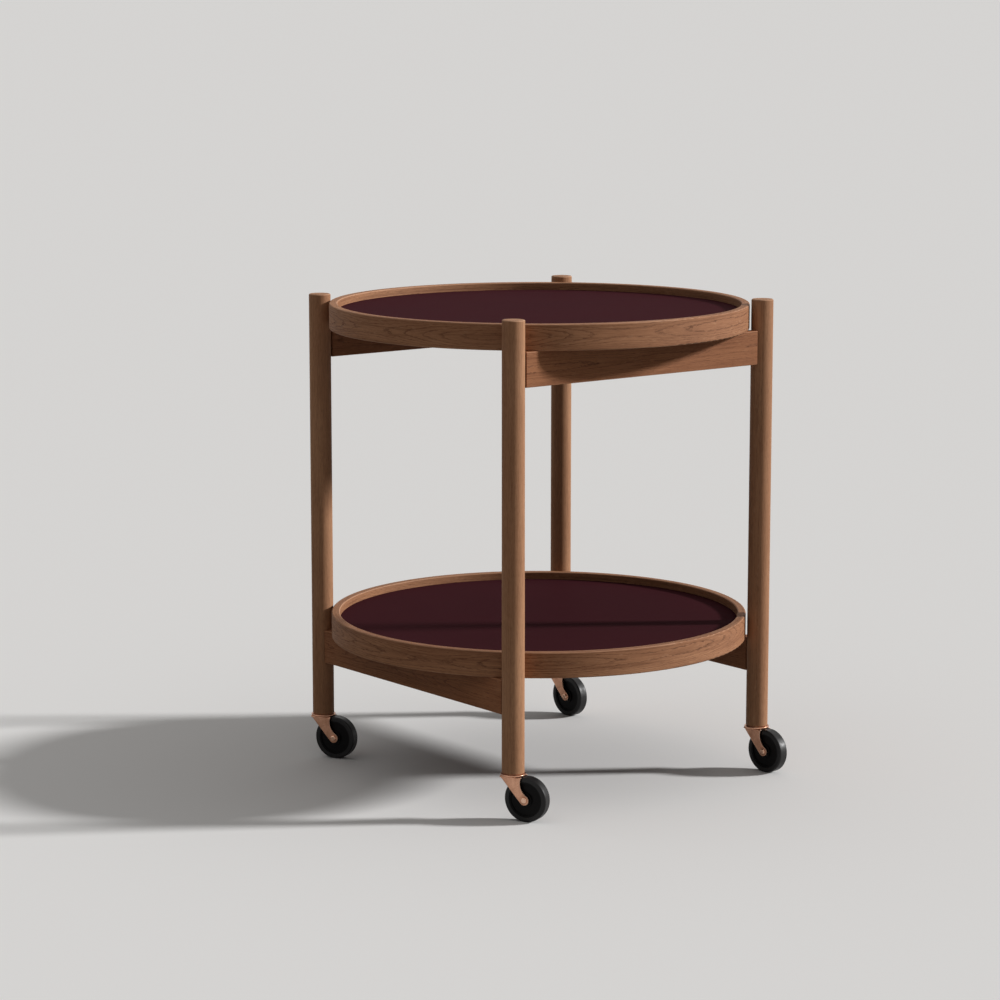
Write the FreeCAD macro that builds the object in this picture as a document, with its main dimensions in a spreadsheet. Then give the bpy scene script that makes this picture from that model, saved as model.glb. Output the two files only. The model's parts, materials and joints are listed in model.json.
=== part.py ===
import FreeCAD, Part
import math
import os
import re
import Sketcher

# Two-tier round tray table on casters, in millimetres.
# Origin on the floor under the middle of the table, +Z up.
# +X runs along the top rails and +Y along the bottom rails.

# Driving sizes: name, value, meaning
SIZES = [
    ("tray_diameter", 500, "outside of a tray's rim"),
    ("tray_clearance", 2, "gap between a rim and the legs round it"),
    ("rim_height", 30, "height of a tray's rim"),
    ("rim_wall", 10, "thickness of the rim"),
    ("rim_round", 1.6, "rounding of the rim's edges"),
    ("groove_depth", 4, "how far the board reaches into the rim"),
    ("board_thickness", 10, "core board of a tray"),
    ("laminate_thickness", 0.8, "laminate on each face of the board"),
    ("tray_spacing", 373, "underside of the bottom tray to underside of the top tray"),
    ("bottom_rail_rise", 66.1, "lower end of a leg to the underside of a bottom rail"),
    ("leg_diameter", 26, "round leg"),
    ("leg_rise", 6.5, "leg end above the top tray's rim"),
    ("leg_chamfer", 1, "chamfer at both ends of a leg"),
    ("rail_depth", 40, "height of a rail"),
    ("rail_thickness", 14, "thickness of a rail"),
    ("rail_round", 1, "rounding of a rail's long edges"),
    ("rail_end_gap", 0.4, "gap between a rail's end and its leg"),
    ("dowel_diameter", 8, "dowel between a top rail and a leg"),
    ("dowel_spacing", 20, "distance between the two dowels of a rail end"),
    ("dowel_in_leg", 16, "dowel depth in the leg"),
    ("dowel_in_rail", 30, "dowel depth in the rail"),
    ("tongue_width", 8, "steel tongue between a bottom rail and a leg"),
    ("tongue_thickness", 3, "thickness of the tongue"),
    ("tongue_in_rail", 40, "tongue depth in the rail"),
    ("tongue_pin_diameter", 4, "pin that holds the tongue in the rail"),
    ("tongue_pin_inset", 8, "tongue pin to the end of the rail or tongue"),
    ("tongue_pin_above", 10, "tongue pin end above the middle of the rail"),
    ("pivot_diameter", 5, "pivot pin on the leg's axis"),
    ("pivot_length", 24, "length of the pivot pin"),
    ("wheel_diameter", 52, "outside of a tyre"),
    ("wheel_width", 12.5, "width of a tyre"),
    ("tyre_wall", 5.5, "radial thickness of a tyre"),
    ("tyre_round", 1.6, "rounding of the tread's edges"),
    ("core_lip", 2, "radial width of the lip round the wheel's web"),
    ("lip_inset", 0.4, "tyre's side to that lip"),
    ("web_recess", 1.6, "tyre's side to the web between the hub and the lip"),
    ("hub_wall", 4.2, "wall of the hub round its bush"),
    ("bush_wall", 1.5, "wall of the hub bush"),
    ("axle_diameter", 5, "rivet that carries the wheel"),
    ("rivet_head_lip", 1.1, "domed heads of the axle rivet beyond its shank"),
    ("rivet_head_height", 1.6, "height of those heads"),
    ("rivet_head_round", 1.4, "dome of those heads"),
    ("trail", 18, "swivel axis to axle"),
    ("crown_gap", 1.06, "wheel to the crown's nearest edge"),
    ("crown_back", 12.5, "fork on the swivel axis's side away from the wheel"),
    ("crown_front", 5.5, "crown on the wheel's side of the swivel axis"),
    ("cheek_front", 14, "top edge of a cheek on the wheel's side of the swivel axis"),
    ("fork_thickness", 1.8, "sheet of the fork"),
    ("fork_round", 1.3, "outer rounding where the crown turns into the cheeks"),
    ("cheek_gap", 1.2, "tyre to cheek"),
    ("cheek_end_wall", 3.1, "rounded end of a cheek round the axle"),
    ("cheek_hollow_radius", 17, "hollow front edge of a cheek"),
    ("flange_lip", 1.75, "ring under the leg beyond the leg's side"),
    ("flange_thickness", 2, "thickness of that ring"),
    ("flange_round", 0.7, "rounding of the ring's edges"),
    ("socket_wall", 3, "wall of the socket tube in the leg"),
    ("socket_length", 30, "length of that tube above the ring"),
    ("stem_diameter", 7, "swivel stem"),
    ("stem_nose", 3, "stem above its clip"),
    ("stem_chamfer", 1, "chamfer at the stem's end"),
    ("stem_head_lip", 1, "riveted head under the crown beyond the stem"),
    ("stem_head_height", 1, "height of that head"),
    ("clip_reach", 2, "retaining clip beyond the stem"),
    ("clip_thickness", 1, "thickness of the clip"),
    ("clip_seat", 1.2, "depth of the clip's groove"),
    ("clip_mouth", 60, "degrees of the clip's opening"),
    ("clip_room", 2, "free space in the leg above the stem"),
    ("washer_diameter", 18, "thrust washer on the crown"),
    ("washer_thickness", 0.5, "thickness of that washer"),
    ("fit_gap", 0.05, "clearance of every round and slotted fit"),
    ("thrust_gap", 0.1, "clearance between swivelling flat faces"),
    ("side_gap", 0.3, "hub bush to cheek"),
    ("heading_front", 295, "direction in which the front caster trails"),
    ("heading_right", 276, "direction in which the right caster trails"),
    ("heading_back", 275, "direction in which the back caster trails"),
    ("heading_left", 297, "direction in which the left caster trails"),
]
ALIASES = {name for name, value, meaning in SIZES}

# Heights and offsets worked out from the driving sizes
TRAY_RADIUS = "(tray_diameter / 2)"
RIM_INSIDE = f"({TRAY_RADIUS} - rim_wall)"
GROOVE_RADIUS = f"({RIM_INSIDE} + groove_depth)"
LEG_RADIUS = "(leg_diameter / 2)"
LEG_OFFSET = f"(({TRAY_RADIUS} + tray_clearance + {LEG_RADIUS}) / sqrt(2))"
RAIL_LENGTH = f"(2 * ({LEG_OFFSET} - {LEG_RADIUS} - rail_end_gap))"
WHEEL_RADIUS = "(wheel_diameter / 2)"
CROWN_RISE = f"sqrt(({WHEEL_RADIUS} + crown_gap)^2 - (trail - crown_front)^2)"
CROWN_UNDER = f"({WHEEL_RADIUS} + {CROWN_RISE})"
CROWN_TOP = f"({CROWN_UNDER} + fork_thickness)"
WASHER_TOP = f"({CROWN_TOP} + washer_thickness)"
FLANGE_UNDER = f"({WASHER_TOP} + thrust_gap)"
FLANGE_RADIUS = f"({LEG_RADIUS} + flange_lip)"
LEG_FOOT = f"({FLANGE_UNDER} + flange_thickness)"
BOTTOM_RAIL_UNDER = f"({LEG_FOOT} + bottom_rail_rise)"
BOTTOM_RAIL_MIDDLE = f"({BOTTOM_RAIL_UNDER} + rail_depth / 2)"
BOTTOM_TRAY = f"({BOTTOM_RAIL_UNDER} + rail_depth)"
TOP_TRAY = f"({BOTTOM_TRAY} + tray_spacing)"
TOP_RAIL_MIDDLE = f"({TOP_TRAY} - rail_depth / 2)"
LEG_TOP = f"({TOP_TRAY} + rim_height + leg_rise)"
SOCKET_TOP = f"({LEG_FOOT} + socket_length)"
CLIP_UNDER = f"({SOCKET_TOP} + thrust_gap)"
CLIP_TOP = f"({CLIP_UNDER} + clip_thickness)"
STEM_TOP = f"({CLIP_TOP} + stem_nose)"
STEM_RADIUS = "(stem_diameter / 2)"
STEM_BORE = f"({STEM_RADIUS} + fit_gap)"
STEM_HEAD_RADIUS = f"({STEM_RADIUS} + stem_head_lip)"
SOCKET_RADIUS = f"({STEM_BORE} + socket_wall)"
CLIP_SEAT_RADIUS = f"({STEM_RADIUS} - clip_seat)"
CLIP_RADIUS = f"({STEM_RADIUS} + clip_reach)"
WHEEL_HALF = "(wheel_width / 2)"
CORE_RADIUS = f"({WHEEL_RADIUS} - tyre_wall)"
AXLE_RADIUS = "(axle_diameter / 2)"
AXLE_BORE = f"({AXLE_RADIUS} + fit_gap)"
RIVET_HEAD_RADIUS = f"({AXLE_RADIUS} + rivet_head_lip)"
CHEEK_END_RADIUS = f"({AXLE_RADIUS} + cheek_end_wall)"
BUSH_RADIUS = f"({AXLE_BORE} + bush_wall)"
HUB_RADIUS = f"({BUSH_RADIUS} + hub_wall)"
CHEEK_INNER = f"({WHEEL_HALF} + cheek_gap)"
CHEEK_OUTER = f"({CHEEK_INNER} + fork_thickness)"
PIVOT_BORE = "(pivot_diameter / 2 + fit_gap)"
TONGUE_HALF = "(tongue_width / 2)"
PIN_BORE = "(tongue_pin_diameter / 2 + fit_gap)"

# Tongue pins, measured from the rail's end
PIN_REACHES = ("tongue_pin_inset", "(tongue_in_rail - tongue_pin_inset)")

# Legs by name: sign of X, sign of Y
LEGS = {"front": (-1, -1), "right": (1, -1), "back": (1, 1), "left": (-1, 1)}

doc = FreeCAD.newDocument("TrayTable")
sheet = doc.addObject("Spreadsheet::Sheet", "Sizes")
for row, (name, value, meaning) in enumerate(SIZES, start=1):
    sheet.set(f"A{row}", meaning)
    sheet.set(f"B{row}", str(value))
    sheet.setAlias(f"B{row}", name)
doc.recompute()

# Point numbers of a sketch curve
START = 1
END = 2
CENTRE = 3

# Two lengths closer than this are the same
SAME = 0.001

# Largest share of a wall that a rounding on each of its two edges takes
ROUND_SHARE = 0.45

nodes = []


def sized(text):
    """Turn the size names in an expression into references to the sheet."""
    return re.sub(r"[a-z_]+", lambda word: f"Sizes.{word[0]}" if word[0] in ALIASES else word[0], text)


def number(owner, text):
    """Present value of an expression."""
    return float(owner.evalExpression(sized(text)))


def move(piece, x="0", y="0", z="0"):
    """Bind a piece's place to the sheet."""
    for axis, text in (("x", x), ("y", y), ("z", z)):
        piece.setExpression(f"Placement.Base.{axis}", sized(text))


def new_body(label, x="0", y="0", z="0", heading="0", in_group=False):
    """Start a body at its place, turned about the vertical. It is a node unless a group holds it."""
    body = doc.addObject("PartDesign::Body", label)
    body.Label = label
    move(body, x, y, z)
    body.setExpression("Placement.Rotation.Angle", sized(heading))
    if not in_group:
        nodes.append(body)
    return body


def new_sketch(body, name, role, right="0", up="0", out="0"):
    """Start a sketch on one of the body's own planes, shifted along that plane and off it."""
    sketch = body.newObject("Sketcher::SketchObject", f"{body.Name}_{name}")
    plane = next(feature for feature in body.Origin.OriginFeatures if feature.Role == role)
    sketch.AttachmentSupport = [(plane, "")]
    sketch.MapMode = "FlatFace"
    for axis, text in (("x", right), ("y", up), ("z", out)):
        sketch.setExpression(f"AttachmentOffset.Base.{axis}", sized(text))
    return sketch


def constrain(sketch, text, kind, *where):
    """Add a constraint whose value is an expression."""
    rule = sketch.addConstraint(Sketcher.Constraint(kind, *where, number(sketch, text)))
    sketch.setExpression(f"Constraints[{rule}]", sized(text))


def fix(sketch, curve, point, x, y):
    """Place one point of a curve."""
    constrain(sketch, x, "DistanceX", curve, point)
    constrain(sketch, y, "DistanceY", curve, point)


def draw_outline(sketch, corners):
    """Draw a closed straight outline through its corners."""
    points = [FreeCAD.Vector(number(sketch, x), number(sketch, y)) for x, y in corners]
    lines = [sketch.addGeometry(Part.LineSegment(points[index - 1], points[index]))
             for index in range(len(points))]
    for index, line in enumerate(lines):
        sketch.addConstraint(Sketcher.Constraint("Coincident", lines[index - 1], END, line, START))
        fix(sketch, line, END, *corners[index])


def draw_box(sketch, left, right, low, high):
    """Draw a rectangle between its four sides."""
    draw_outline(sketch, [(left, low), (right, low), (right, high), (left, high)])


def draw_circle(sketch, x, y, radius):
    """Draw a circle."""
    centre = FreeCAD.Vector(number(sketch, x), number(sketch, y))
    circle = Part.Circle(centre, FreeCAD.Vector(0, 0, 1), number(sketch, radius))
    curve = sketch.addGeometry(circle)
    fix(sketch, curve, CENTRE, x, y)
    constrain(sketch, radius, "Radius", curve)


def pad(body, sketch, length):
    """Raise a sketch along its normal."""
    feature = body.newObject("PartDesign::Pad", f"{sketch.Name}_pad")
    feature.Profile = sketch
    feature.setExpression("Length", sized(length))
    doc.recompute()


def cut(body, sketch, depth, along_normal):
    """Cut a sketch into the body, along its normal or against it."""
    before = body.Shape.Volume
    feature = body.newObject("PartDesign::Pocket", f"{sketch.Name}_cut")
    feature.Profile = sketch
    feature.Reversed = along_normal
    feature.setExpression("Length", sized(depth))
    doc.recompute()
    if body.Shape.Volume >= before:
        raise RuntimeError(f"{feature.Name} cuts nothing")


def turn(body, sketch, axis, degrees="360"):
    """Revolve a sketch about one of its own axes."""
    feature = body.newObject("PartDesign::Revolution", f"{sketch.Name}_turned")
    feature.Profile = sketch
    feature.ReferenceAxis = (sketch, [axis])
    feature.setExpression("Angle", sized(degrees))
    doc.recompute()


def round_edges(body, radius, wall, wanted):
    """Round the edges that a test picks, as far as the wall between two of them allows."""
    base = body.Tip
    edges = [f"Edge{index}" for index, edge in enumerate(base.Shape.Edges, start=1) if wanted(edge)]
    feature = body.newObject("PartDesign::Fillet", f"{body.Name}_round")
    feature.Base = (base, edges)
    feature.setExpression("Radius", sized(f"min({radius}; {ROUND_SHARE} * {wall})"))
    doc.recompute()


def same(one, other):
    """Say whether two lengths are equal."""
    return abs(one - other) < SAME


def is_circle(edge, radius):
    """Say whether an edge is a circle of this radius."""
    return isinstance(edge.Curve, Part.Circle) and same(edge.Curve.Radius, radius)


def runs_along_x(edge):
    """Say whether an edge is straight and parallel to X."""
    return isinstance(edge.Curve, Part.Line) and same(abs(edge.Curve.Direction.x), 1)


def new_cylinder(label, radius, height, x="0", y="0", z="0"):
    """Make a cylinder on its lower end."""
    cylinder = doc.addObject("Part::Cylinder", label)
    cylinder.Label = label
    cylinder.setExpression("Radius", sized(radius))
    cylinder.setExpression("Height", sized(height))
    move(cylinder, x, y, z)
    return cylinder


def new_group(label, members):
    """Make one node of several like pieces."""
    group = doc.addObject("Part::Compound", label)
    group.Label = label
    group.Links = members
    nodes.append(group)


def new_ring(label, place, inner, outer, low, high, degrees="360"):
    """Make a flat ring about the vertical axis, whole or open."""
    body = new_body(label, *place)
    sketch = new_sketch(body, "section", "XZ_Plane")
    draw_box(sketch, inner, outer, low, high)
    turn(body, sketch, "V_Axis", degrees)


def signed(sign, text):
    """Give an expression a sign."""
    return text if sign > 0 else f"-{text}"


def make_tray(name, height):
    """Rim with a groove, core board in the groove, laminate on both faces inside the rim."""
    rim = new_body(f"{name}_tray_rim", z=height)
    section = new_sketch(rim, "section", "XZ_Plane")
    groove_low = "((rim_height - board_thickness) / 2 - fit_gap)"
    groove_high = "((rim_height + board_thickness) / 2 + fit_gap)"
    draw_outline(section, [
        (RIM_INSIDE, "0"),
        (TRAY_RADIUS, "0"),
        (TRAY_RADIUS, "rim_height"),
        (RIM_INSIDE, "rim_height"),
        (RIM_INSIDE, groove_high),
        (GROOVE_RADIUS, groove_high),
        (GROOVE_RADIUS, groove_low),
        (RIM_INSIDE, groove_low),
    ])
    turn(rim, section, "V_Axis")
    rim_top = number(section, "rim_height")
    round_edges(rim, "rim_round", "rim_wall",
                lambda edge: any(same(edge.Vertexes[0].Z, level) for level in (0, rim_top)))

    board_radius = f"{GROOVE_RADIUS} - fit_gap"
    face_radius = f"{RIM_INSIDE} - fit_gap"
    board_low = f"({height} + (rim_height - board_thickness) / 2)"
    layers = (
        ("lower_laminate", face_radius, "laminate_thickness", f"{board_low} - laminate_thickness"),
        ("board", board_radius, "board_thickness", board_low),
        ("upper_laminate", face_radius, "laminate_thickness", f"{board_low} + board_thickness"),
    )
    for layer, radius, thickness, low in layers:
        nodes.append(new_cylinder(f"{name}_tray_{layer}", radius, thickness, z=low))


def make_leg(name, sign_x, sign_y):
    """Round leg: the top rail meets it along its own +X, the bottom rail along its own +Y or -Y."""
    side = sign_x * sign_y
    half_turn = "0" if sign_x < 0 else "180"
    leg = new_body(f"leg_{name}", signed(sign_x, LEG_OFFSET), signed(sign_y, LEG_OFFSET), heading=half_turn)
    section = new_sketch(leg, "section", "XZ_Plane")
    socket_bore = f"({SOCKET_RADIUS} + fit_gap)"
    socket_bore_top = f"({STEM_TOP} + clip_room)"
    pivot_bore_top = f"({BOTTOM_RAIL_MIDDLE} + pivot_length / 2)"
    draw_outline(section, [
        (socket_bore, LEG_FOOT),
        (f"{LEG_RADIUS} - leg_chamfer", LEG_FOOT),
        (LEG_RADIUS, f"{LEG_FOOT} + leg_chamfer"),
        (LEG_RADIUS, f"{LEG_TOP} - leg_chamfer"),
        (f"{LEG_RADIUS} - leg_chamfer", LEG_TOP),
        ("0", LEG_TOP),
        ("0", pivot_bore_top),
        (PIVOT_BORE, pivot_bore_top),
        (PIVOT_BORE, socket_bore_top),
        (socket_bore, socket_bore_top),
    ])
    turn(leg, section, "V_Axis")

    bores = new_sketch(leg, "dowel_bores", "YZ_Plane", out=f"{LEG_RADIUS} - dowel_in_leg")
    draw_dowel_bores(bores, TOP_RAIL_MIDDLE)
    cut(leg, bores, "dowel_in_leg", along_normal=True)

    slot_end = f"({TONGUE_HALF} + fit_gap)"
    slot = new_sketch(leg, "tongue_slot", "XZ_Plane", out=signed(side, slot_end))
    draw_tongue_slot(slot, BOTTOM_RAIL_MIDDLE)
    cut(leg, slot, f"{LEG_RADIUS} + {slot_end}", along_normal=side < 0)


def draw_dowel_bores(sketch, height):
    """Two bores, one above the other."""
    for sign in "+-":
        draw_circle(sketch, "0", f"{height} {sign} dowel_spacing / 2", "dowel_diameter / 2 + fit_gap")


def draw_tongue_slot(sketch, height):
    """Flat slot that a tongue slips into."""
    half_width = f"({TONGUE_HALF} + fit_gap)"
    half_height = "(tongue_thickness / 2 + fit_gap)"
    draw_box(sketch, f"-{half_width}", half_width, f"{height} - {half_height}", f"{height} + {half_height}")


def start_rail(label, x, y, z, quarter_turn="0"):
    """Plain rail along its own X with rounded long edges."""
    rail = new_body(label, x, y, z, quarter_turn)
    section = new_sketch(rail, "section", "YZ_Plane", out=f"-{RAIL_LENGTH} / 2")
    draw_box(section, "-rail_thickness / 2", "rail_thickness / 2", "-rail_depth / 2", "rail_depth / 2")
    pad(rail, section, RAIL_LENGTH)
    round_edges(rail, "rail_round", "rail_thickness", runs_along_x)
    return rail


def make_top_rail(name, sign_y):
    """Rail that carries the top tray, with dowel bores in both ends."""
    rail = start_rail(f"top_rail_{name}", "0", signed(sign_y, LEG_OFFSET), TOP_RAIL_MIDDLE)
    for end, sign in (("low", -1), ("high", 1)):
        depth_plane = f"({RAIL_LENGTH} / 2 - dowel_in_rail)"
        bores = new_sketch(rail, f"{end}_bores", "YZ_Plane", out=signed(sign, depth_plane))
        draw_dowel_bores(bores, "0")
        cut(rail, bores, "dowel_in_rail", along_normal=sign > 0)


def make_bottom_rail(name, sign_x):
    """Rail that carries the bottom tray, with a tongue slot and two pin bores at both ends."""
    rail = start_rail(f"bottom_rail_{name}", signed(sign_x, LEG_OFFSET), "0", BOTTOM_RAIL_MIDDLE, "90")
    for end, sign in (("low", -1), ("high", 1)):
        depth_plane = f"({RAIL_LENGTH} / 2 - tongue_in_rail)"
        slot = new_sketch(rail, f"{end}_slot", "YZ_Plane", out=signed(sign, depth_plane))
        draw_tongue_slot(slot, "0")
        cut(rail, slot, "tongue_in_rail", along_normal=sign > 0)
        bores = new_sketch(rail, f"{end}_pin_bores", "XY_Plane", out="-rail_depth / 2")
        for reach in PIN_REACHES:
            place = f"({RAIL_LENGTH} / 2 - {reach})"
            draw_circle(bores, signed(sign, place), "0", PIN_BORE)
        cut(rail, bores, "rail_depth / 2 + tongue_pin_above", along_normal=True)


def make_dowels():
    """Two dowels in each end of the top rails."""
    dowels = []
    length = "dowel_in_leg + rail_end_gap + dowel_in_rail"
    for name, (sign_x, sign_y) in LEGS.items():
        for place, sign in (("upper", "+"), ("lower", "-")):
            dowel = new_cylinder(f"dowel_{name}_{place}", "dowel_diameter / 2", length)
            dowel.Placement = FreeCAD.Placement(
                FreeCAD.Vector(), FreeCAD.Rotation(FreeCAD.Vector(0, 1, 0), -90 * sign_x))
            start = f"({LEG_OFFSET} - {LEG_RADIUS} + dowel_in_leg)"
            move(dowel, signed(sign_x, start), signed(sign_y, LEG_OFFSET),
                 f"{TOP_RAIL_MIDDLE} {sign} dowel_spacing / 2")
            dowels.append(dowel)
    new_group("top_rail_dowels", dowels)


def make_tongue(name, sign_x, sign_y):
    """Flat steel tongue from the leg's axis into the bottom rail, bored for its pins."""
    quarter_turn = "90" if sign_y < 0 else "270"
    tongue = new_body(f"tongue_{name}", signed(sign_x, LEG_OFFSET), signed(sign_y, LEG_OFFSET),
                      BOTTOM_RAIL_MIDDLE, quarter_turn, in_group=True)
    rail_end = f"({LEG_RADIUS} + rail_end_gap)"
    plate = new_sketch(tongue, "plate", "XY_Plane", out="-tongue_thickness / 2")
    draw_box(plate, f"-{TONGUE_HALF}", f"{rail_end} + tongue_in_rail", f"-{TONGUE_HALF}", TONGUE_HALF)
    draw_circle(plate, "0", "0", PIVOT_BORE)
    for reach in PIN_REACHES:
        draw_circle(plate, f"{rail_end} + {reach}", "0", PIN_BORE)
    pad(tongue, plate, "tongue_thickness")
    return tongue


def make_pivots():
    """Tongues, pivot pins and tongue pins of the bottom rails, a group of each."""
    tongues = []
    pivots = []
    pins = []
    for name, (sign_x, sign_y) in LEGS.items():
        leg_x = signed(sign_x, LEG_OFFSET)
        leg_y = signed(sign_y, LEG_OFFSET)
        tongues.append(make_tongue(name, sign_x, sign_y))
        pivots.append(new_cylinder(f"pivot_{name}", "pivot_diameter / 2", "pivot_length", leg_x, leg_y,
                                   f"{BOTTOM_RAIL_MIDDLE} - pivot_length / 2"))
        for index, reach in enumerate(PIN_REACHES):
            distance = f"({LEG_OFFSET} - {LEG_RADIUS} - rail_end_gap - {reach})"
            pins.append(new_cylinder(f"pin_{name}_{index}", "tongue_pin_diameter / 2",
                                     "rail_depth / 2 + tongue_pin_above", leg_x, signed(sign_y, distance),
                                     BOTTOM_RAIL_UNDER))
    new_group("bottom_rail_tongues", tongues)
    new_group("bottom_rail_pivot_pins", pivots)
    new_group("bottom_rail_tongue_pins", pins)


def make_socket(name, place):
    """Tube pressed into the leg, with the ring that shows under the leg."""
    socket = new_body(f"caster_socket_{name}", *place)
    section = new_sketch(socket, "section", "XZ_Plane")
    draw_outline(section, [
        (STEM_BORE, FLANGE_UNDER),
        (FLANGE_RADIUS, FLANGE_UNDER),
        (FLANGE_RADIUS, LEG_FOOT),
        (SOCKET_RADIUS, LEG_FOOT),
        (SOCKET_RADIUS, SOCKET_TOP),
        (STEM_BORE, SOCKET_TOP),
    ])
    turn(socket, section, "V_Axis")
    ring_radius = number(section, FLANGE_RADIUS)
    round_edges(socket, "flange_round", "flange_thickness", lambda edge: is_circle(edge, ring_radius))


def make_stem(name, place):
    """Swivel stem, riveted under the crown, with a groove for its clip."""
    stem = new_body(f"caster_stem_{name}", *place)
    section = new_sketch(stem, "section", "XZ_Plane")
    draw_outline(section, [
        ("0", f"{CROWN_UNDER} - stem_head_height"),
        (STEM_HEAD_RADIUS, f"{CROWN_UNDER} - stem_head_height"),
        (STEM_HEAD_RADIUS, CROWN_UNDER),
        (STEM_RADIUS, CROWN_UNDER),
        (STEM_RADIUS, CLIP_UNDER),
        (CLIP_SEAT_RADIUS, CLIP_UNDER),
        (CLIP_SEAT_RADIUS, CLIP_TOP),
        (STEM_RADIUS, CLIP_TOP),
        (STEM_RADIUS, f"{STEM_TOP} - stem_chamfer"),
        (f"{STEM_RADIUS} - stem_chamfer", STEM_TOP),
        ("0", STEM_TOP),
    ])
    turn(stem, section, "V_Axis")


def draw_cheek(sketch):
    """Tapered cheek: straight back edge, round end about the axle, hollow front edge."""
    axle = FreeCAD.Vector(number(sketch, "trail"), number(sketch, WHEEL_RADIUS))
    back = FreeCAD.Vector(-number(sketch, "crown_back"), number(sketch, CROWN_TOP))
    front = FreeCAD.Vector(number(sketch, "cheek_front"), number(sketch, CROWN_TOP))
    end_radius = number(sketch, CHEEK_END_RADIUS)
    hollow_radius = number(sketch, "cheek_hollow_radius")

    # The back edge leaves the top corner at a tangent to the round end
    reach = axle - back
    slope = math.atan2(reach.y, reach.x) - math.asin(end_radius / reach.Length)
    back_touch = slope - math.pi / 2
    tangent = axle + end_radius * FreeCAD.Vector(math.cos(back_touch), math.sin(back_touch))

    # The hollow's centre lies ahead of the cheek, at known distances from the front corner and the axle
    drop = axle - front
    span = hollow_radius + end_radius
    along = (hollow_radius ** 2 - span ** 2 + drop.Length ** 2) / (2 * drop.Length)
    across = math.sqrt(hollow_radius ** 2 - along ** 2)
    down = drop / drop.Length
    hollow = front + along * down + across * FreeCAD.Vector(-down.y, down.x)
    front_touch = math.atan2(hollow.y - axle.y, hollow.x - axle.x)
    front_start = math.atan2(front.y - hollow.y, front.x - hollow.x)

    normal = FreeCAD.Vector(0, 0, 1)
    top_edge = sketch.addGeometry(Part.LineSegment(back, front))
    front_edge = sketch.addGeometry(Part.ArcOfCircle(
        Part.Circle(hollow, normal, hollow_radius), front_start, front_touch + math.pi))
    round_end = sketch.addGeometry(Part.ArcOfCircle(
        Part.Circle(axle, normal, end_radius), back_touch, front_touch))
    back_edge = sketch.addGeometry(Part.LineSegment(tangent, back))

    sketch.addConstraint(Sketcher.Constraint("Coincident", top_edge, END, front_edge, START))
    sketch.addConstraint(Sketcher.Constraint("Tangent", front_edge, END, round_end, END))
    sketch.addConstraint(Sketcher.Constraint("Tangent", round_end, START, back_edge, START))
    sketch.addConstraint(Sketcher.Constraint("Coincident", back_edge, END, top_edge, START))
    fix(sketch, top_edge, START, "-crown_back", CROWN_TOP)
    fix(sketch, top_edge, END, "cheek_front", CROWN_TOP)
    fix(sketch, round_end, CENTRE, "trail", WHEEL_RADIUS)
    constrain(sketch, CHEEK_END_RADIUS, "Radius", round_end)
    constrain(sketch, "cheek_hollow_radius", "Radius", front_edge)
    draw_circle(sketch, "trail", WHEEL_RADIUS, AXLE_BORE)


def make_fork(name, place):
    """Sheet fork: flat crown on the stem and a cheek on each side of the wheel."""
    fork = new_body(f"caster_fork_{name}", *place)
    crown = new_sketch(fork, "crown", "XY_Plane", out=CROWN_UNDER)
    draw_box(crown, "-crown_back", "crown_front", f"-{CHEEK_OUTER}", CHEEK_OUTER)
    draw_circle(crown, "0", "0", STEM_BORE)
    pad(fork, crown, "fork_thickness")
    for side, plane in (("near", CHEEK_INNER), ("far", f"-{CHEEK_OUTER}")):
        cheek = new_sketch(fork, f"{side}_cheek", "XZ_Plane", out=plane)
        draw_cheek(cheek)
        pad(fork, cheek, "fork_thickness")
    crown_top = number(crown, CROWN_TOP)
    outside = number(crown, CHEEK_OUTER)
    round_edges(fork, "fork_round", "(2 * fork_thickness)", lambda edge: runs_along_x(edge)
                and same(edge.Vertexes[0].Z, crown_top) and same(abs(edge.Vertexes[0].Y), outside))


def make_turned(label, place, side):
    """Piece that is round about the axle, from the corners of its right half."""
    body = new_body(label, *place)
    section = new_sketch(body, "section", "YZ_Plane", up=WHEEL_RADIUS, out="trail")
    draw_outline(section, side + [(f"-{along}", radius) for along, radius in reversed(side)])
    turn(body, section, "H_Axis")
    return body


def make_axle(name, place):
    """Rivet through both cheeks, with domed heads."""
    head_end = f"({CHEEK_OUTER} + rivet_head_height)"
    axle = make_turned(f"caster_axle_{name}", place, [
        (CHEEK_OUTER, AXLE_RADIUS),
        (CHEEK_OUTER, RIVET_HEAD_RADIUS),
        (head_end, RIVET_HEAD_RADIUS),
        (head_end, "0"),
    ])
    end = number(axle, head_end)
    head_radius = number(axle, RIVET_HEAD_RADIUS)
    round_edges(axle, "rivet_head_round", "(2 * rivet_head_height)",
                lambda edge: is_circle(edge, head_radius) and same(abs(edge.Vertexes[0].Y), end))


def make_wheel(name, place):
    """Core with a recessed web, tyre round it and bush in its hub."""
    web_half = f"({WHEEL_HALF} - web_recess)"
    lip_half = f"({WHEEL_HALF} - lip_inset)"
    lip_radius = f"({CORE_RADIUS} - core_lip)"
    make_turned(f"wheel_core_{name}", place, [
        (WHEEL_HALF, f"{BUSH_RADIUS} + fit_gap"),
        (WHEEL_HALF, HUB_RADIUS),
        (web_half, HUB_RADIUS),
        (web_half, lip_radius),
        (lip_half, lip_radius),
        (lip_half, f"{CORE_RADIUS} - fit_gap"),
    ])
    tyre = make_turned(f"wheel_tyre_{name}", place, [(WHEEL_HALF, CORE_RADIUS), (WHEEL_HALF, WHEEL_RADIUS)])
    tread_radius = number(tyre, WHEEL_RADIUS)
    round_edges(tyre, "tyre_round", "(2 * tyre_wall)", lambda edge: is_circle(edge, tread_radius))
    bush_half = f"({CHEEK_INNER} - side_gap)"
    make_turned(f"wheel_bush_{name}", place, [(bush_half, AXLE_BORE), (bush_half, BUSH_RADIUS)])


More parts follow.
